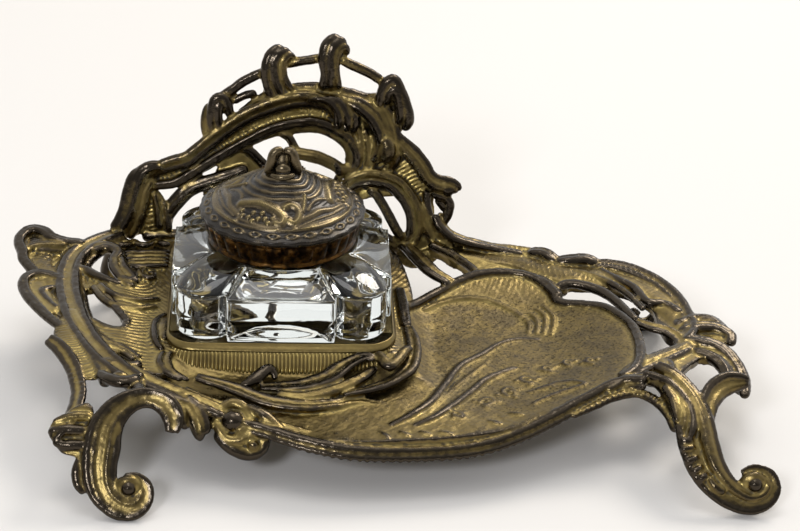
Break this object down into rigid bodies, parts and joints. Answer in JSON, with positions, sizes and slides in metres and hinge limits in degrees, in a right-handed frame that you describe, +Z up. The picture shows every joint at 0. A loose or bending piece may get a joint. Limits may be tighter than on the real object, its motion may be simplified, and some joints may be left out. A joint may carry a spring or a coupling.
{
  "type": "desk inkstand",
  "caption": "Cast brass desk inkstand with scrolled feet, a dished pen tray, a pierced gallery and a square glass inkwell with a hinged domed lid.",
  "frame": {"origin": "middle of the stand's footprint, on the table it stands on", "axes": "+X along the pen tray to the right, +Y back towards the gallery, +Z up"},
  "size_m": [0.2218, 0.1424, 0.0896],
  "materials": {
    "gilt_brass": "sand-cast brass with worn gilding, dark patina on the high edges and in the grooves",
    "clear_glass": "pressed clear glass with polished faces",
    "plaster": "dry plaster bedding",
    "collar_brass": "spun brass, tarnished dark amber",
    "steel_pin": "drawn wire pin, dulled",
    "bronzed_lid": "stamped repousse brass with a dark bronzed finish and rubbed highlights"
  },
  "bodies": {
    "stand": {"pen_tray": "gilt_brass", "well_deck": "gilt_brass", "well_plinth": "gilt_brass", "gallery_arch": "gilt_brass", "gallery_crest": "gilt_brass", "gallery_right_scrolls": "gilt_brass", "gallery_left_post": "gilt_brass", "left_scrollwork": "gilt_brass", "right_leaf_band": "gilt_brass", "right_scrollwork": "gilt_brass", "front_left_foot": "gilt_brass", "front_right_foot": "gilt_brass", "back_left_foot": "gilt_brass", "back_right_foot": "gilt_brass"},
    "inkwell": {"glass_inkwell": "clear_glass", "collar_cement": "plaster", "collar": "collar_brass", "hinge_pin": "steel_pin"},
    "lid": {"lid": "bronzed_lid", "lid_finial": "bronzed_lid", "lid_liner": "collar_brass"}
  },
  "joints": [
    {"name": "inkwell_lift", "type": "slide", "parent": "stand", "child": "inkwell", "axis": [0, 0, 1], "range_m": [0, 0.03]},
    {"name": "lid_hinge", "type": "hinge", "parent": "inkwell", "child": "lid", "pos_m": [-0.02875, 0.0431, 0.05385], "axis": [-1, 0, 0], "range_deg": [0, 85]}
  ]
}
